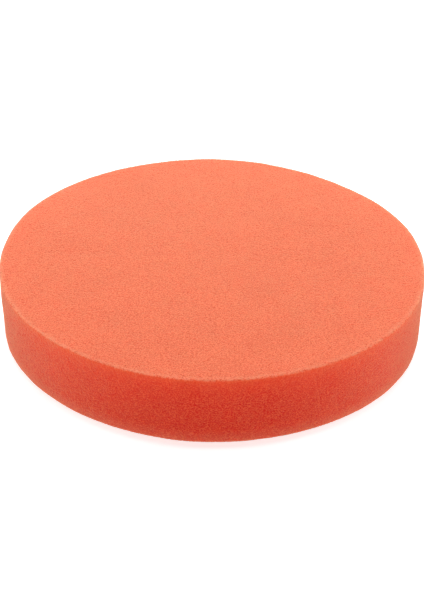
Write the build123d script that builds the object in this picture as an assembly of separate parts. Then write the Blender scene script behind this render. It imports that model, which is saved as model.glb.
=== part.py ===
from build123d import *
import os

# Foam polishing pad, 150 mm class, laid on its hook-and-loop backing.
# Z = 0 is the plane of the pile's loop tips, which grips a machine's backing plate.
# +Z runs through the bonded stack and out of the flat foam working face.
# The stack, from Z = 0 up: pile loops, knitted ground cloth, adhesive film, foam.

# Driving dimensions, in millimetres
FOAM_DIAMETER = 155.0
FOAM_THICKNESS = 25.0
WORKING_RIM_RADIUS = 0.8
BACKING_RIM_RADIUS = 1.2

BACKING_DIAMETER = 145.0
PILE_HEIGHT = 1.6
PILE_RIM_RADIUS = 0.6
CLOTH_THICKNESS = 0.5
FILM_THICKNESS = 0.3

# Levels of the bonded stack, each the underside of its layer
PILE_LEVEL = 0.0
CLOTH_LEVEL = PILE_LEVEL + PILE_HEIGHT
FILM_LEVEL = CLOTH_LEVEL + CLOTH_THICKNESS
FOAM_LEVEL = FILM_LEVEL + FILM_THICKNESS

PARTS_FOLDER = "parts"


def layer(diameter, thickness, level):
    """A plain round layer that stands on the given level."""
    on_its_underside = (Align.CENTER, Align.CENTER, Align.MIN)
    return Pos(0, 0, level) * Cylinder(diameter / 2, thickness, align=on_its_underside)


def round_rims(body, lower=0.0, upper=0.0):
    """The layer with its lower and upper rims rounded to the given radii, where not 0."""
    circles = body.edges().filter_by(GeomType.CIRCLE).sort_by(Axis.Z)
    if upper:
        body = fillet(circles.last, upper)
    if lower:
        body = fillet(body.edges().filter_by(GeomType.CIRCLE).sort_by(Axis.Z).first, lower)
    return body


def foam_disc():
    """The open-cell foam body: a straight side, with both rims only just softened."""
    body = layer(FOAM_DIAMETER, FOAM_THICKNESS, FOAM_LEVEL)
    return round_rims(body, lower=BACKING_RIM_RADIUS, upper=WORKING_RIM_RADIUS)


def adhesive_film():
    """The hot-melt film that bonds the cloth to the foam."""
    return layer(BACKING_DIAMETER, FILM_THICKNESS, FILM_LEVEL)


def loop_backing_cloth():
    """The knitted ground cloth that the pile loops stand on."""
    return layer(BACKING_DIAMETER, CLOTH_THICKNESS, CLOTH_LEVEL)


def loop_pile():
    """The space that the brushed pile loops fill, rounded off where the outer loops lean in."""
    return round_rims(layer(BACKING_DIAMETER, PILE_HEIGHT, PILE_LEVEL), lower=PILE_RIM_RADIUS)


NODES = {
    "foam_disc": foam_disc,
    "adhesive_film": adhesive_film,
    "loop_backing_cloth": loop_backing_cloth,
    "loop_pile": loop_pile,
}


def main():
    os.makedirs(PARTS_FOLDER, exist_ok=True)
    for node, build in NODES.items():
        export_step(build(), f"{PARTS_FOLDER}/{node}.step")


main()
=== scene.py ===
import math
from itertools import product

import bpy
import numpy as np
from mathutils import Matrix, Vector


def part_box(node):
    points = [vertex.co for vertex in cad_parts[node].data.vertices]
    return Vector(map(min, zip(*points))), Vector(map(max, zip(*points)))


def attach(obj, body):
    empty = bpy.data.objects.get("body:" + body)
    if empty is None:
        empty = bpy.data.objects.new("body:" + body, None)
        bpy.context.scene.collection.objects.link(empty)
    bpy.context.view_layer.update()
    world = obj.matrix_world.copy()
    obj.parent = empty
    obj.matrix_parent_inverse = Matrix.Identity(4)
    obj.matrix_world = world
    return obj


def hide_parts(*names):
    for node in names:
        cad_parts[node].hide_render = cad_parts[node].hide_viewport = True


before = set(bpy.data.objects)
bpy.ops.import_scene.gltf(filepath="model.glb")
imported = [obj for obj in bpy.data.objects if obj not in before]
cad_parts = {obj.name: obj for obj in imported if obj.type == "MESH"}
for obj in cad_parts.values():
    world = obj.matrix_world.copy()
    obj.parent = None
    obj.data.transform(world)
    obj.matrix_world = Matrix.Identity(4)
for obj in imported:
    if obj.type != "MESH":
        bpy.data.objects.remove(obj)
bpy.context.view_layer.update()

# A round foam polishing pad, lying on its hook-and-loop backing. All lengths are in metres.
# The backing is a stack glued under the foam: an adhesive film, a knitted cloth and its pile loops.
MM = 0.001

FOAM_LOW, FOAM_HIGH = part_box("foam_disc")
FOAM_RADIUS = (FOAM_HIGH.x - FOAM_LOW.x) / 2
CLOTH_LOW, CLOTH_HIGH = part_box("loop_backing_cloth")
CLOTH_RADIUS = (CLOTH_HIGH.x - CLOTH_LOW.x) / 2
PILE_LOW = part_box("loop_pile")[0]

# Mesh layout: a disc is a square grid pressed round, so its edge has four times as many points
# as the grid has cells along one side, and starts at one corner of the square.
FIRST_ANGLE = 1.25 * math.pi
SMALLEST_CAP_RING = 60

# Foam shape
WORKING_RIM = 0.6 * MM
BACKING_RIM = 1.2 * MM
FOAM_CELLS = 480
FOAM_STEP = 2 * math.pi * FOAM_RADIUS / (4 * FOAM_CELLS)
BARE_RING = FOAM_RADIUS - CLOTH_RADIUS + 0.5 * MM
# Waves round the outline, each as how many, how high and where they start
OUT_OF_ROUND = (
    (2, 1.14 * MM, 2.25), (3, 0.21 * MM, 0.87),
    (5, 0.14 * MM, -1.24), (6, 0.25 * MM, -2.49),
)

# Foam surface: cells of two sizes, a gently uneven face, and a working rim that falls off softly
PORE, PORE_DEPTH = 0.92 * MM, 0.16 * MM
FINE_PORE, FINE_PORE_DEPTH = 0.45 * MM, 0.05 * MM
SWELL = 0.10 * MM
WIDE_SWELL, NARROW_SWELL = 9 * MM, 4 * MM
CROWN, CROWN_REACH, CROWN_DEPTH = 0.08 * MM, 1.4 * MM, 5 * MM

# Paler bands, the same all round: down the side from its top and up from its foot, both painted light,
# and on the rim, fuzz with a painted highlight
TOP_GLOW, TOP_GLOW_REACH = 0.62, 2.8 * MM
FOOT_GLOW, FOOT_GLOW_REACH = 0.26, 6 * MM
FUZZ_STARTS, FUZZ_FULL = 2.3 * MM, 0.5 * MM
FUZZ_BELOW, FUZZ_LEVEL = 1.0 * MM, 0.1 * MM
FUZZ_AND_HIGHLIGHT_SHARE = 0.45

# Foam colours: the walls and hollows of its cells on the face and on the side, the face's paler as
# painted light and the side's deeper as painted shade; then the side's top and foot, paler as painted
# light, and the pale fuzz with its painted highlight along the rim
FACE_STRUT = (1.00, 0.219, 0.102)
FACE_PORE = (0.72, 0.043, 0.006)
SIDE_STRUT = (1.00, 0.138, 0.051)
SIDE_PORE = (0.82, 0.004, 0.001)
SIDE_PAINTED_GLOW = (1.00, 0.146, 0.043)
FOOT_PAINTED_BOUNCE = (1.00, 0.380, 0.220)
RIM_FUZZ_AND_HIGHLIGHT = (0.99, 0.400, 0.250)
CELL_SCALE = 2200
GRAIN_SCALE = 2700
FUZZ_SCALE = 1300
TONE_SCALE = 60
SIDE_CONTRAST = 2.4
SUBSURFACE_REACH = 12.0 * MM

# Backing
CLOTH_CELLS = 300
WALE, COURSE = 1.8 * MM, 1.5 * MM
KNIT_DEPTH = 0.07 * MM
FRAYED = 0.12 * MM
LOOP_SPACING = (2.10 * MM, 2.05 * MM)
LOOP_WIDTH = (1.3 * MM, 2.1 * MM)
YARN_RADIUS = (0.22 * MM, 0.31 * MM)
YARN_SIDES = 4
LOOP_STATIONS = 6
LOOP_FULLNESS = 0.6
TIP_SPREAD = 0.35 * MM
LOOP_ROOT = 0.12 * MM
INNER_LOOPS_END = 2.2 * MM
# Rings of closer loops along the cut edge, each as its inset and the gap between its loops
EDGE_LOOP_ROWS = ((0.75 * MM, 1.15 * MM), (1.60 * MM, 1.25 * MM))
CLOTH_THREAD = (0.80, 0.79, 0.75)
# Painted shade in the gaps of the knit
CLOTH_GAP_SHADE = (0.58, 0.56, 0.51)
YARN_PALE = (0.90, 0.89, 0.86)
# The duller yarn tone, also used as painted shade at the loops' roots
YARN_DULL = (0.76, 0.74, 0.69)
FILM_CLEAR = (0.76, 0.70, 0.56)
FILM_MILKY = (0.66, 0.59, 0.45)

# Flat maps
SHEET_MARGIN = 2 * MM
SIDE_STRIPS = 3
SMALL_DISC = 0.5

# Stage: the floor's glow, and how much brighter the camera sees it near the pad and far away
CAMERA_TARGET = Vector((0.00035, 0, 0.0073))
CAMERA_DISTANCE = 0.455
CAMERA_ELEVATION = 32.48
CAMERA_ROLL = 0.37
CAMERA_LENS = 73.2
CAMERA_SENSOR = 36.0
CAMERA_NEAREST = 0.01
BACKDROP_GLOW = 1.05
FLOOR_RADIUS = 30
FLOOR_CELLS = 8
FLOOR_GLOW = 0.33
FLOOR_LIFT_NEAR, FLOOR_LIFT_FAR = 0.38, 0.72
NEAR, FAR = 0.15, 0.60
# Each softbox as its name, place, size and power
SOFTBOXES = (
    ("back_softbox", (0, 1.0, 0.75), (1.3, 0.7), 17.5),
    ("left_softbox", (-1.2, 0.2, 0.5), (0.9, 0.8), 7.9),
    ("right_softbox", (1.2, 0.2, 0.5), (0.9, 0.8), 8.2),
    ("top_softbox", (0, -0.25, 1.1), (1.0, 0.6), 3.15),
    ("front_softbox", (0.05, -1.3, 0.35), (1.9, 0.5), 4.1),
)


# ---------------------------------------------------------------- fields over points

def hashed(cells, salt):
    """A steady pseudo-random number from 0 to 1 for each whole-numbered cell."""
    x, y, z = (cells[:, i].astype(np.uint64) for i in range(3))
    h = x * np.uint64(0x9E3779B97F4A7C15) ^ y * np.uint64(0xC2B2AE3D27D4EB4F)
    h ^= z * np.uint64(0x165667B19E3779F9) ^ np.uint64(salt * 0x27D4EB2F165667C5 % 2**64)
    h ^= h >> np.uint64(29)
    h *= np.uint64(0xBF58476D1CE4E5B9)
    h ^= h >> np.uint64(32)
    return (h & np.uint64(0xFFFFFF)).astype(float) / 0xFFFFFF


def foam_cells(points, size, salt):
    """How far each point is from the wall of its foam cell, and its cell's own random number.

    The distance is 0 on a wall and about 1 at the middle of a cell.
    """
    at = points / size
    home = np.floor(at).astype(np.int64)
    first = np.full(len(at), 9.0)
    second = np.full(len(at), 9.0)
    number = np.zeros(len(at))
    for offset in product((-1, 0, 1), repeat=3):
        cell = home + np.array(offset)
        shifts = np.stack([hashed(cell, salt + i) for i in range(3)], 1)
        away = np.linalg.norm(cell + shifts - at, axis=1)
        nearer = away < first
        second = np.where(nearer, first, np.minimum(second, away))
        number = np.where(nearer, hashed(cell, salt + 7), number)
        first = np.where(nearer, away, first)
    return second - first, number


def smooth_noise(points, size, salt):
    """Value noise from -1 to 1 with lumps of that size."""
    at = points / size
    home = np.floor(at).astype(np.int64)
    part = at - home
    part = part * part * (3 - 2 * part)
    total = np.zeros(len(at))
    for corner in product((0, 1), repeat=3):
        pick = np.array(corner)
        share = np.prod(np.where(pick, part, 1 - part), axis=1)
        total += share * hashed(home + pick, salt)
    return 2 * total - 1


def eased(value, low, high):
    """0 at low, 1 at high, and a smooth step between."""
    t = np.clip((value - low) / (high - low), 0, 1)
    return t * t * (3 - 2 * t)


# ---------------------------------------------------------------- round bodies

class RoundBody:
    """The points, outward normals and faces of a closed round body, gathered ring by ring."""

    def __init__(self):
        self.points = []
        self.normals = []
        self.faces = []
        self.count = 0

    def add(self, points, normals):
        """Adds points and gives their numbers."""
        self.points.append(points)
        self.normals.append(normals)
        numbers = np.arange(self.count, self.count + len(points))
        self.count += len(points)
        return numbers

    def disc(self, cells, radius, z, up):
        """A flat disc of small square faces that looks up (1) or down (-1). Gives its edge."""
        flat, quads = disc_grid(cells)
        level = np.full(len(flat), z)
        normals = np.tile((0.0, 0.0, up), (len(flat), 1))
        numbers = self.add(np.column_stack([flat * radius, level]), normals)
        quads = numbers[quads]
        self.faces += (quads if up > 0 else quads[:, ::-1]).tolist()
        return numbers[disc_edge(cells)]

    def ring(self, count, r, z, across, up):
        """A ring of points, anticlockwise from the disc's first corner."""
        turn = FIRST_ANGLE + np.arange(count) * 2 * math.pi / count
        cos, sin = np.cos(turn), np.sin(turn)
        points = np.column_stack([r * cos, r * sin, np.full(count, z)])
        return self.add(points, np.column_stack([across * cos, across * sin, np.full(count, up)]))

    def wall(self, upper, lower):
        """Quads from one ring down to another of the same count, seen from outside."""
        quads = np.stack([upper, lower, np.roll(lower, -1), np.roll(upper, -1)], 1)
        self.faces += quads.tolist()

    def cap(self, ring, radius, z, up):
        """Closes a ring to its centre, with half as many points in each ring further in."""
        step = 2 * math.pi * radius / len(ring)
        fan = []
        while len(ring) % 2 == 0 and len(ring) > SMALLEST_CAP_RING:
            step *= 2
            radius -= step
            inner = self.ring(len(ring) // 2, radius, z, 0.0, up)
            fan += halved_faces(ring, inner)
            ring = inner
        centre = int(self.add(np.array([(0.0, 0.0, z)]), np.array([(0.0, 0.0, up)]))[0])
        fan += [(int(a), centre, int(b)) for a, b in zip(ring, np.roll(ring, -1))]
        self.faces += [face[::-1] for face in fan] if up > 0 else fan


def disc_grid(cells):
    """A square grid of points pressed into a unit disc, and its faces."""
    line = np.linspace(-1, 1, cells + 1)
    b, a = np.meshgrid(line, line, indexing="ij")
    wide = np.abs(a) > np.abs(b)
    radius = np.where(wide, a, b)
    safe = np.where(radius == 0, 1, radius)
    quarter = math.pi / 4
    angle = np.where(wide, quarter * b / safe, 2 * quarter - quarter * a / safe)
    points = np.stack([radius * np.cos(angle), radius * np.sin(angle)], -1).reshape(-1, 2)
    row = np.arange(cells)
    corner = (row[:, None] * (cells + 1) + row[None, :]).reshape(-1)
    faces = np.stack([corner, corner + 1, corner + cells + 2, corner + cells + 1], 1)
    return points, faces


def disc_edge(cells):
    """The numbers of a disc grid's outermost points, anticlockwise from its first corner."""
    row = np.arange(cells)
    side = cells + 1
    return np.concatenate([row, row * side + cells, cells * side + cells - row, (cells - row) * side])


def halved_faces(outer, inner):
    """Faces from a ring to an inner ring of half as many points, seen from below."""
    faces = []
    count = len(inner)
    for i in range(count):
        a, b, c = (int(outer[(2 * i + k) % len(outer)]) for k in range(3))
        here, after = int(inner[i]), int(inner[(i + 1) % count])
        faces.append((a, here, b))
        faces.append((b, here, after, c))
    return faces


def arc_stations(centre_r, centre_z, radius, start, end, step):
    """Points along a rounded rim in the (r, z) plane, with their outward normals."""
    count = max(3, round(abs(end - start) * radius / step))
    for angle in np.linspace(start, end, count + 1)[1:]:
        across, up = math.cos(angle), math.sin(angle)
        yield centre_r + radius * across, centre_z + radius * up, across, up


def foam_profile():
    """The foam's outline from the working face's edge down to its underside, as (r, z, normal)."""
    low, high, edge = FOAM_LOW.z, FOAM_HIGH.z, FOAM_RADIUS
    top, bottom = high - WORKING_RIM, low + BACKING_RIM
    yield from arc_stations(edge - WORKING_RIM, top, WORKING_RIM, math.pi / 2, 0, FOAM_STEP)
    for z in np.linspace(top, bottom, round((top - bottom) / FOAM_STEP) + 1)[1:]:
        yield edge, z, 1.0, 0.0
    yield from arc_stations(edge - BACKING_RIM, bottom, BACKING_RIM, 0, -math.pi / 2, FOAM_STEP)
    steps = round((BARE_RING - BACKING_RIM) / FOAM_STEP)
    for r in np.linspace(edge - BACKING_RIM, edge - BARE_RING, steps + 1)[1:]:
        yield r, low, 0.0, -1.0


# ---------------------------------------------------------------- mesh helpers

def make_object(name, points, faces, material):
    mesh = bpy.data.meshes.new(name)
    mesh.from_pydata(points.tolist(), [], faces)
    mesh.validate()
    mesh.shade_smooth()
    mesh.materials.append(material)
    piece = bpy.data.objects.new(name, mesh)
    bpy.context.scene.collection.objects.link(piece)
    return piece


def store(mesh, name, values):
    """Keeps one number per point on the mesh, for its material."""
    attribute = mesh.attributes.new(name, "FLOAT", "POINT")
    attribute.data.foreach_set("value", values.astype(np.float32))


def corner_table(mesh):
    """For each corner of each face: its point's place, and its face's normal and centre."""
    place = np.empty(3 * len(mesh.vertices), np.float32)
    mesh.vertices.foreach_get("co", place)
    which = np.empty(len(mesh.loops), np.int32)
    mesh.loops.foreach_get("vertex_index", which)
    total = np.empty(len(mesh.polygons), np.int32)
    mesh.polygons.foreach_get("loop_total", total)
    normal = np.empty(3 * len(mesh.polygons), np.float32)
    mesh.polygons.foreach_get("normal", normal)
    centre = np.empty(3 * len(mesh.polygons), np.float32)
    mesh.polygons.foreach_get("center", centre)
    face = np.repeat(np.arange(len(total)), total)
    return place.reshape(-1, 3)[which], normal.reshape(-1, 3)[face], centre.reshape(-1, 3)[face]


def lay_flat(mesh, radius, low, high, main_up):
    """A flat map of a round body: its main face, its side in strips, its other face half size."""
    place, normal, centre = corner_table(mesh)
    disc = radius + SHEET_MARGIN
    strip_height = high - low + 4 * SHEET_MARGIN
    canvas = 2 * disc + SIDE_STRIPS * strip_height + SHEET_MARGIN
    main = place[:, :2] + disc
    other = place[:, :2] * SMALL_DISC + (2 * disc + SMALL_DISC * disc, SMALL_DISC * disc)
    strip_turn = 2 * math.pi / SIDE_STRIPS
    middle = np.arctan2(centre[:, 1], centre[:, 0]) % (2 * math.pi)
    turn = np.arctan2(place[:, 1], place[:, 0])
    turn = middle + (turn - middle + math.pi) % (2 * math.pi) - math.pi
    strip = np.minimum(middle // strip_turn, SIDE_STRIPS - 1)
    across = SHEET_MARGIN + (turn - strip * strip_turn) * radius
    inward = radius - np.hypot(place[:, 0], place[:, 1])
    rise = place[:, 2] - low + np.where(place[:, 2] > (low + high) / 2, inward, -inward)
    up = 2 * disc + strip * strip_height + 2 * SHEET_MARGIN + rise
    side = np.column_stack([across, up])
    facing = normal[:, 2] * main_up
    flat = np.where((facing > 0.7)[:, None], main, np.where((facing < -0.7)[:, None], other, side))
    bake_map = mesh.uv_layers.new(name="OFBake")
    bake_map.data.foreach_set("uv", (flat / canvas).astype(np.float32).reshape(-1))


# ---------------------------------------------------------------- pieces

def foam_outline(points, angle, radius):
    """The foam's points pushed a little out of round, with the working rim eased down."""
    outward = points * (1, 1, 0) / np.maximum(radius, MM)[:, None]
    oval = sum(size * np.cos(n * angle + turn) for n, size, turn in OUT_OF_ROUND)
    points = points + outward * (oval * radius / FOAM_RADIUS)[:, None]
    near_top = eased(points[:, 2], FOAM_HIGH.z - CROWN_DEPTH, FOAM_HIGH.z)
    points[:, 2] -= CROWN * (np.exp(-(FOAM_RADIUS - radius) / CROWN_REACH) * near_top)
    return points


def foam_relief(points):
    """How far each point stands proud, and how deep in a cell it lies from 0 to 1."""
    wall, number = foam_cells(points, PORE, 11)
    fine, _ = foam_cells(points, FINE_PORE, 47)
    pit = eased(wall, 0.02, 0.55) * (0.45 + 0.55 * number)
    fine_pit = eased(fine, 0.02, 0.5)
    swell = smooth_noise(points, WIDE_SWELL, 3) + 0.5 * smooth_noise(points, NARROW_SWELL, 5)
    relief = PORE_DEPTH * (0.3 - pit) + FINE_PORE_DEPTH * (0.5 - fine_pit) + SWELL * swell
    return relief, 0.7 * pit + 0.3 * fine_pit


def store_foam_bands(mesh, height, radius, up):
    """Keeps where the face is, the side's top and foot bands of painted light, and the rim's fuzz with
    its painted highlight.
    """
    near_edge = eased(radius, FOAM_RADIUS - FUZZ_STARTS, FOAM_RADIUS - FUZZ_FULL)
    near_top = eased(height, FOAM_HIGH.z - FUZZ_BELOW, FOAM_HIGH.z - FUZZ_LEVEL)
    face = eased(up, 0.2, 0.9)
    # Painted light: the side lighter near its top, standing for light from the face coming through the
    # edge
    painted_top_glow = TOP_GLOW * np.exp((height - FOAM_HIGH.z) / TOP_GLOW_REACH)
    # The rim's fuzz, with a painted highlight
    store(mesh, "rim", near_edge * near_top * eased(up, -0.2, 0.8))
    store(mesh, "face", face)
    store(mesh, "glow", (1 - face) * painted_top_glow)
    # Painted light: the side lighter near its foot, standing for bounce light from the floor
    store(mesh, "painted_foot_light", FOOT_GLOW * eased(height, FOAM_LOW.z + FOOT_GLOW_REACH, FOAM_LOW.z))


def foam_body(material):
    """The foam disc with its open cells as real relief, left smooth where the cloth hides it."""
    body = RoundBody()
    ring = body.disc(FOAM_CELLS, FOAM_RADIUS - WORKING_RIM, FOAM_HIGH.z, 1.0)
    for r, z, across, up in foam_profile():
        below = body.ring(4 * FOAM_CELLS, r, z, across, up)
        body.wall(ring, below)
        ring = below
    body.cap(ring, FOAM_RADIUS - BARE_RING, FOAM_LOW.z, -1.0)
    points, normals = np.vstack(body.points), np.vstack(body.normals)

    angle = np.arctan2(points[:, 1], points[:, 0])
    radius = np.hypot(points[:, 0], points[:, 1])
    points = foam_outline(points, angle, radius)
    relief, pore = foam_relief(points)
    hidden = (normals[:, 2] < -0.9) & (radius < CLOTH_RADIUS - MM)
    points = points + normals * np.where(hidden, 0, relief)[:, None]

    piece = make_object("foam_body", points, body.faces, material)
    store(piece.data, "pore", pore)
    store_foam_bands(piece.data, points[:, 2], radius, normals[:, 2])
    lay_flat(piece.data, FOAM_RADIUS, FOAM_LOW.z, FOAM_HIGH.z, 1.0)
    return piece


def knitted_cloth(material):
    """The ground cloth: stitches in relief on its underside, and an edge as a die cuts it."""
    body = RoundBody()
    low = body.disc(CLOTH_CELLS, CLOTH_RADIUS, CLOTH_LOW.z, -1.0)
    high = body.ring(len(low), CLOTH_RADIUS, CLOTH_HIGH.z, 0.0, 1.0)
    body.wall(high, low)
    body.cap(high, CLOTH_RADIUS, CLOTH_HIGH.z, 1.0)
    points, normals = np.vstack(body.points), np.vstack(body.normals)

    radius = np.hypot(points[:, 0], points[:, 1])
    edge = eased(radius, CLOTH_RADIUS - 1.5 * MM, CLOTH_RADIUS)
    ragged = smooth_noise(points * (1, 1, 0), 1.1 * MM, 21) - 1
    points = points * (1 + edge * ragged * FRAYED / CLOTH_RADIUS)[:, None] ** (1, 1, 0)
    wale = np.cos(2 * math.pi * points[:, 0] / WALE)
    course = np.cos(2 * math.pi * points[:, 1] / COURSE + 0.6 * wale)
    stitch = np.where(normals[:, 2] < 0, (0.5 + 0.3 * wale * course + 0.2 * wale), 0)
    points[:, 2] += KNIT_DEPTH * stitch
    piece = make_object("knitted_cloth", points, body.faces, material)
    lay_flat(piece.data, CLOTH_RADIUS, CLOTH_LOW.z, CLOTH_HIGH.z, -1.0)
    return piece


def loop_places(random):
    """Where each pile loop stands, which way it runs and how far it leans outwards.

    The loops stand in staggered rows, with rings of closer ones along the cut edge.
    """
    step_x, step_y = LOOP_SPACING
    count = int(CLOTH_RADIUS / min(LOOP_SPACING)) + 1
    row, column = np.meshgrid(np.arange(-count, count + 1), np.arange(-count, count + 1))
    x = ((column + 0.5 * (row % 2)) * step_x).reshape(-1)
    y = (row * step_y).reshape(-1)
    x = x + random.uniform(-0.35, 0.35, len(x)) * step_x
    y = y + random.uniform(-0.35, 0.35, len(y)) * step_y
    inside = np.hypot(x, y) < CLOTH_RADIUS - INNER_LOOPS_END
    places = [np.column_stack([x, y])[inside]]
    turns = [random.normal(0, 0.6, inside.sum())]
    leans = [random.uniform(-0.2, 0.2, inside.sum()) * MM]
    for inset, gap in EDGE_LOOP_ROWS:
        count = int(2 * math.pi * CLOTH_RADIUS / gap)
        around = (np.arange(count) + random.uniform(-0.3, 0.3, count)) * 2 * math.pi / count
        radius = CLOTH_RADIUS - inset + random.uniform(-0.2, 0.2, count) * MM
        places.append(np.column_stack([radius * np.cos(around), radius * np.sin(around)]))
        turns.append(around + math.pi / 2 + random.normal(0, 0.45, count))
        leans.append(random.uniform(0.0, 0.3, count) * MM)
    return np.concatenate(places), np.concatenate(turns), np.concatenate(leans)


def pile_loops(material):
    """Thousands of yarn loops, each a bent closed tube with both ends in the cloth."""
    random = np.random.default_rng(5)
    place, turn, lean = loop_places(random)
    count = len(place)
    along = np.column_stack([np.cos(turn), np.sin(turn)])
    outward = place / np.linalg.norm(place, axis=1)[:, None]
    width = random.uniform(*LOOP_WIDTH, count)
    yarn = random.uniform(*YARN_RADIUS, count)
    root = CLOTH_LOW.z + LOOP_ROOT
    tip = PILE_LOW.z + yarn + TIP_SPREAD * random.uniform(0, 1, count) ** 2
    sway = random.normal(0, 0.22, (count, 2)) * MM + outward * lean[:, None]

    centres = []
    for share in np.linspace(0, 1, LOOP_STATIONS):
        bow = math.sin(math.pi * share)
        spread = -0.5 * width * math.cos(math.pi * share)
        level = place + along * spread[:, None] + sway * bow
        centres.append(np.column_stack([level, root + (tip - root) * bow ** LOOP_FULLNESS]))
    centres = np.stack(centres, 1)
    tangents = np.gradient(centres, axis=1)
    tangents /= np.linalg.norm(tangents, axis=2, keepdims=True)
    across = np.column_stack([along[:, 1], -along[:, 0], np.zeros(count)])
    sideways = np.repeat(across[:, None, :], LOOP_STATIONS, axis=1)
    upright = np.cross(sideways, tangents)

    rings = []
    for side in range(YARN_SIDES):
        roll = 2 * math.pi * side / YARN_SIDES + math.pi / 4
        offset = math.cos(roll) * sideways + math.sin(roll) * upright
        rings.append(centres + offset * yarn[:, None, None])
    points = np.stack(rings, 2)
    points[..., 2] = np.maximum(points[..., 2], PILE_LOW.z)

    per_loop = LOOP_STATIONS * YARN_SIDES
    first = np.arange(count)[:, None] * per_loop
    template = []
    for station in range(LOOP_STATIONS - 1):
        for side in range(YARN_SIDES):
            here = station * YARN_SIDES + side
            beside = station * YARN_SIDES + (side + 1) % YARN_SIDES
            template.append((here + YARN_SIDES, beside + YARN_SIDES, beside, here))
    template.append(tuple(range(YARN_SIDES)))
    template.append(tuple(reversed(range(per_loop - YARN_SIDES, per_loop))))
    faces = np.concatenate([first + np.array(face) for face in template])
    piece = make_object("pile_loops", points.reshape(-1, 3), faces.tolist(), material)
    store(piece.data, "tone", np.repeat(random.uniform(0, 1, count), per_loop))
    # How near each point is to the cloth, for the painted shade at the loops' roots
    height = (points[..., 2].reshape(-1) - PILE_LOW.z) / (root - PILE_LOW.z)
    store(piece.data, "root", np.clip(height, 0, 1))
    lay_loops_flat(piece.data, count, per_loop)
    return piece


def lay_loops_flat(mesh, count, per_loop):
    """A flat map of the loops: one small square of the canvas for each."""
    squares = math.ceil(math.sqrt(count))
    which = np.empty(len(mesh.loops), np.int32)
    mesh.loops.foreach_get("vertex_index", which)
    start = np.empty(len(mesh.polygons), np.int32)
    mesh.polygons.foreach_get("loop_start", start)
    total = np.empty(len(mesh.polygons), np.int32)
    mesh.polygons.foreach_get("loop_total", total)
    own = which % per_loop
    station, side = own // YARN_SIDES, own % YARN_SIDES
    first_side = np.repeat(side[start], total)
    turns_over = (side == 0) & (first_side == YARN_SIDES - 1)
    side = np.where(turns_over, YARN_SIDES, side)
    loop = which // per_loop
    across = (station + 0.5) / LOOP_STATIONS
    up = (side + 0.5) / (YARN_SIDES + 1)
    u = (loop % squares + across) / squares
    v = (loop // squares + up) / squares
    bake_map = mesh.uv_layers.new(name="OFBake")
    bake_map.data.foreach_set("uv", np.column_stack([u, v]).astype(np.float32).reshape(-1))


# ---------------------------------------------------------------- materials

def new_material(name):
    """A material, its nodes and its Principled shader."""
    material = bpy.data.materials.new(name)
    material.use_nodes = True
    tree = material.node_tree
    return material, tree, tree.nodes["Principled BSDF"]


def attribute(tree, name):
    node = tree.nodes.new("ShaderNodeAttribute")
    node.attribute_name = name
    return node.outputs["Fac"]


def object_place(tree):
    return tree.nodes.new("ShaderNodeTexCoord").outputs["Object"]


def noise_value(tree, place, scale, detail=2.0):
    node = tree.nodes.new("ShaderNodeTexNoise")
    node.inputs["Scale"].default_value = scale
    node.inputs["Detail"].default_value = detail
    tree.links.new(place, node.inputs["Vector"])
    return node.outputs["Fac"]


def cell_value(tree, place, scale):
    """0 at the middle of each cell, and about 1 along the walls between cells."""
    node = tree.nodes.new("ShaderNodeTexVoronoi")
    node.inputs["Scale"].default_value = scale
    tree.links.new(place, node.inputs["Vector"])
    return node.outputs["Distance"]


def band_value(tree, place, direction, spacing, ripple):
    """Soft bands across one axis, that far apart."""
    node = tree.nodes.new("ShaderNodeTexWave")
    node.bands_direction = direction
    node.inputs["Scale"].default_value = math.pi / (10 * spacing)
    node.inputs["Distortion"].default_value = ripple
    node.inputs["Detail Scale"].default_value = 2.0
    tree.links.new(place, node.inputs["Vector"])
    return node.outputs["Fac"]


def mapped(tree, value, low, high, to_low, to_high):
    node = tree.nodes.new("ShaderNodeMapRange")
    tree.links.new(value, node.inputs["Value"])
    for name, number in (("From Min", low), ("From Max", high), ("To Min", to_low), ("To Max", to_high)):
        node.inputs[name].default_value = number
    return node.outputs["Result"]


def flipped(tree, value):
    """1 less the value, kept from 0 to 1."""
    return mapped(tree, value, 0, 1, 1, 0)


def powered(tree, value, exponent):
    node = tree.nodes.new("ShaderNodeMath")
    node.operation = "POWER"
    tree.links.new(value, node.inputs[0])
    node.inputs[1].default_value = exponent
    return node.outputs[0]


def mixed(tree, share, one, two, blend="MIX"):
    """A mix of two colours or numbers, each a socket or a plain RGB colour."""
    node = tree.nodes.new("ShaderNodeMix")
    node.data_type = "RGBA"
    node.blend_type = blend
    if isinstance(share, bpy.types.NodeSocket):
        tree.links.new(share, node.inputs["Factor"])
    else:
        node.inputs["Factor"].default_value = share
    for name, colour in (("A", one), ("B", two)):
        socket = next(s for s in node.inputs if s.name == name and s.type == "RGBA")
        if isinstance(colour, bpy.types.NodeSocket):
            tree.links.new(colour, socket)
        else:
            socket.default_value = (*colour, 1)
    return next(s for s in node.outputs if s.type == "RGBA")


def bumped(tree, shader, height, distance, strength):
    node = tree.nodes.new("ShaderNodeBump")
    node.inputs["Distance"].default_value = distance
    node.inputs["Strength"].default_value = strength
    tree.links.new(height, node.inputs["Height"])
    tree.links.new(node.outputs["Normal"], shader.inputs["Normal"])


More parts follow.
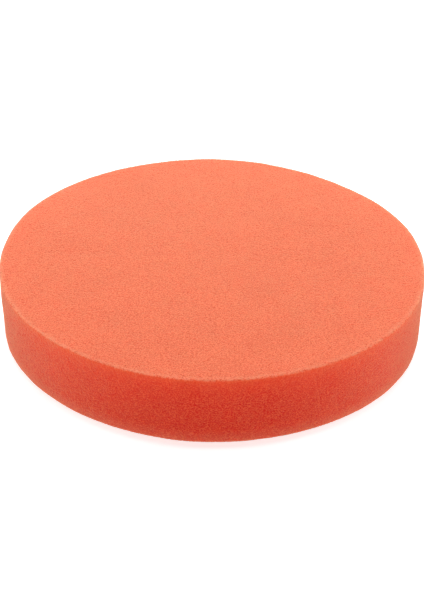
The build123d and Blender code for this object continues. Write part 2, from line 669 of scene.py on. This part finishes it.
def foam_material():
    """Coral open-cell foam: light walls and deep hollows, with painted light and shade: the face paler
    than the side, paler bands at the side's top and foot, and a pale fuzz with a painted highlight along
    the working rim.
    """
    material, tree, shader = new_material("coral_foam")
    place = object_place(tree)
    cells = mapped(tree, cell_value(tree, place, CELL_SCALE), 0.25, 0.70, 1, 0)
    fleck = mapped(tree, noise_value(tree, place, GRAIN_SCALE, 1), 0.38, 0.62, 1, 0)
    grain = mixed(tree, 0.5, cells, fleck)
    pocket = mapped(tree, attribute(tree, "pore"), 0.05, 0.75, 0, 1)
    depth = mapped(tree, mixed(tree, 0.25, grain, pocket), 0.15, 0.85, 0, 1)
    # Painted light and shade: the face's colours paler than the side's
    face = mixed(tree, depth, FACE_STRUT, FACE_PORE)
    side = mixed(tree, powered(tree, flipped(tree, depth), SIDE_CONTRAST), SIDE_PORE, SIDE_STRUT)
    colour = mixed(tree, attribute(tree, "face"), side, face)
    # Painted light: the side lighter near its top
    colour = mixed(tree, attribute(tree, "glow"), colour, SIDE_PAINTED_GLOW)
    # Painted light: the side lighter near its foot, from the floor's bounce
    colour = mixed(tree, attribute(tree, "painted_foot_light"), colour, FOOT_PAINTED_BOUNCE)
    # The rim's pale fuzz, partly a painted highlight
    fuzz_and_highlight = mapped(tree, noise_value(tree, place, FUZZ_SCALE, 2), 0.35, 0.65, 0.0, FUZZ_AND_HIGHLIGHT_SHARE)
    rim = mixed(tree, 1.0, attribute(tree, "rim"), fuzz_and_highlight, "MULTIPLY")
    colour = mixed(tree, rim, colour, RIM_FUZZ_AND_HIGHLIGHT)
    tone = mapped(tree, noise_value(tree, place, TONE_SCALE, 3), 0.3, 0.7, 0.97, 1.03)
    colour = mixed(tree, 1.0, colour, tone, "MULTIPLY")
    tree.links.new(colour, shader.inputs["Base Color"])
    shader.inputs["Roughness"].default_value = 0.9
    shader.inputs["Specular IOR Level"].default_value = 0.25
    shader.inputs["Subsurface Weight"].default_value = 1.0
    shader.inputs["Subsurface Radius"].default_value = (1.0, 0.30, 0.25)
    shader.inputs["Subsurface Scale"].default_value = SUBSURFACE_REACH
    shader.inputs["Sheen Weight"].default_value = 1.0
    shader.inputs["Sheen Roughness"].default_value = 0.45
    shader.inputs["Sheen Tint"].default_value = (1.0, 0.50, 0.31, 1)
    bumped(tree, shader, flipped(tree, grain), 0.15 * MM, 0.8)
    return material


def cloth_material():
    """Off-white knit: stitches from two sets of bands, with painted shade in the gaps between them."""
    material, tree, shader = new_material("knit_ground")
    place = object_place(tree)
    wales = band_value(tree, place, "X", WALE, 0.6)
    courses = band_value(tree, place, "Y", COURSE, 1.2)
    stitches = mixed(tree, 0.5, wales, courses)
    fibre = noise_value(tree, place, 5200, 3)
    height = mixed(tree, 0.35, stitches, fibre)
    # Painted shade: darker in the gaps between the stitches
    colour = mixed(tree, mapped(tree, height, 0.25, 0.75, 0, 1), CLOTH_GAP_SHADE, CLOTH_THREAD)
    tree.links.new(colour, shader.inputs["Base Color"])
    shader.inputs["Roughness"].default_value = 0.85
    shader.inputs["Specular IOR Level"].default_value = 0.3
    shader.inputs["Sheen Weight"].default_value = 0.3
    shader.inputs["Sheen Roughness"].default_value = 0.5
    bumped(tree, shader, height, 0.12 * MM, 0.8)
    return material


def yarn_material():
    """Soft off-white yarn: its own tone in each loop, fine fibres, and painted shade that makes it
    duller towards the root.
    """
    material, tree, shader = new_material("pile_yarn")
    place = object_place(tree)
    fibre = noise_value(tree, place, 6500, 3)
    shade = mixed(tree, 0.5, attribute(tree, "tone"), fibre)
    colour = mixed(tree, mapped(tree, shade, 0.2, 0.8, 0, 1), YARN_DULL, YARN_PALE)
    # Painted shade: duller towards the root, where the loops meet the cloth
    depth = mapped(tree, attribute(tree, "root"), 0.1, 1.0, 0, 0.7)
    colour = mixed(tree, depth, colour, YARN_DULL)
    tree.links.new(colour, shader.inputs["Base Color"])
    shader.inputs["Roughness"].default_value = 0.7
    shader.inputs["Sheen Weight"].default_value = 0.4
    shader.inputs["Sheen Roughness"].default_value = 0.4
    shader.inputs["Subsurface Weight"].default_value = 0.4
    shader.inputs["Subsurface Radius"].default_value = (1.0, 0.9, 0.8)
    shader.inputs["Subsurface Scale"].default_value = 0.4 * MM
    bumped(tree, shader, fibre, 0.05 * MM, 0.7)
    return material


def film_material():
    """Milky hot-melt film, cloudier where it soaked in, with a slightly rippled gloss."""
    material, tree, shader = new_material("hot_melt_film")
    place = object_place(tree)
    cloud = noise_value(tree, place, 420, 4)
    ripple = noise_value(tree, place, 1500, 2)
    colour = mixed(tree, mapped(tree, cloud, 0.35, 0.65, 0, 1), FILM_CLEAR, FILM_MILKY)
    tree.links.new(colour, shader.inputs["Base Color"])
    tree.links.new(mapped(tree, cloud, 0.3, 0.7, 0.30, 0.50), shader.inputs["Roughness"])
    shader.inputs["Subsurface Weight"].default_value = 0.5
    shader.inputs["Subsurface Radius"].default_value = (1.0, 0.8, 0.5)
    shader.inputs["Subsurface Scale"].default_value = 1.0 * MM
    bumped(tree, shader, ripple, 0.06 * MM, 0.5)
    return material


# ---------------------------------------------------------------- stage

def make_camera():
    data = bpy.data.cameras.new("camera")
    data.lens = CAMERA_LENS
    data.sensor_width = CAMERA_SENSOR
    data.clip_start = CAMERA_NEAREST
    camera = bpy.data.objects.new("camera", data)
    bpy.context.scene.collection.objects.link(camera)
    up = math.radians(CAMERA_ELEVATION)
    camera.location = CAMERA_TARGET + CAMERA_DISTANCE * Vector((0, -math.cos(up), math.sin(up)))
    look = (CAMERA_TARGET - camera.location).to_track_quat("-Z", "Y").to_matrix().to_4x4()
    roll = Matrix.Rotation(math.radians(CAMERA_ROLL), 4, "Z")
    camera.matrix_world = Matrix.Translation(camera.location) @ look @ roll
    bpy.context.scene.camera = camera


def area_light(name, place, size, power):
    """A soft light that looks at the pad's middle."""
    data = bpy.data.lights.new(name, "AREA")
    data.shape = "RECTANGLE"
    data.size, data.size_y = size
    data.energy = power
    light = bpy.data.objects.new(name, data)
    bpy.context.scene.collection.objects.link(light)
    light.location = place
    middle = (FOAM_LOW + FOAM_HIGH) / 2
    light.rotation_euler = (middle - Vector(place)).to_track_quat("-Z", "Y").to_euler()
    light.visible_camera = False


def make_world():
    """A backdrop that the camera sees as white, and that lights nothing."""
    world = bpy.data.worlds.new("studio")
    bpy.context.scene.world = world
    world.use_nodes = True
    tree = world.node_tree
    background = tree.nodes["Background"]
    background.inputs["Color"].default_value = (1, 1, 1, 1)
    path = tree.nodes.new("ShaderNodeLightPath")
    glow = mapped(tree, path.outputs["Is Camera Ray"], 0, 1, 0, BACKDROP_GLOW)
    tree.links.new(glow, background.inputs["Strength"])


def make_floor():
    """A white table that glows up onto the pad's side, and that the camera sees brighter still."""
    material, tree, shader = new_material("pale_floor")
    shader.inputs["Base Color"].default_value = (0.72, 0.72, 0.72, 1)
    shader.inputs["Roughness"].default_value = 0.9
    shader.inputs["Specular IOR Level"].default_value = 0.1
    shader.inputs["Emission Color"].default_value = (1, 1, 1, 1)
    away = tree.nodes.new("ShaderNodeVectorMath")
    away.operation = "LENGTH"
    tree.links.new(object_place(tree), away.inputs[0])
    lift = mapped(tree, away.outputs["Value"], NEAR, FAR, FLOOR_LIFT_NEAR, FLOOR_LIFT_FAR)
    seen = tree.nodes.new("ShaderNodeMath")
    seen.operation = "MULTIPLY_ADD"
    path = tree.nodes.new("ShaderNodeLightPath")
    tree.links.new(path.outputs["Is Camera Ray"], seen.inputs[0])
    tree.links.new(lift, seen.inputs[1])
    seen.inputs[2].default_value = FLOOR_GLOW
    tree.links.new(seen.outputs[0], shader.inputs["Emission Strength"])
    points, faces = disc_grid(FLOOR_CELLS)
    flat = np.column_stack([points * FLOOR_RADIUS, np.zeros(len(points))])
    floor = make_object("floor", flat, faces.tolist(), material)


def make_studio():
    make_camera()
    make_world()
    make_floor()
    for name, place, size, power in SOFTBOXES:
        area_light(name, place, size, power)
    bpy.context.scene.view_settings.view_transform = "Standard"


def make_pad():
    foam = foam_body(foam_material())
    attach(foam, "root")
    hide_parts("foam_disc")

    pile = pile_loops(yarn_material())
    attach(pile, "root")
    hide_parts("loop_pile")

    cloth = knitted_cloth(cloth_material())
    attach(cloth, "root")
    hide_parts("loop_backing_cloth")

    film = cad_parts["adhesive_film"]
    for slot in film.material_slots:
        slot.material = film_material()


make_pad()
make_studio()
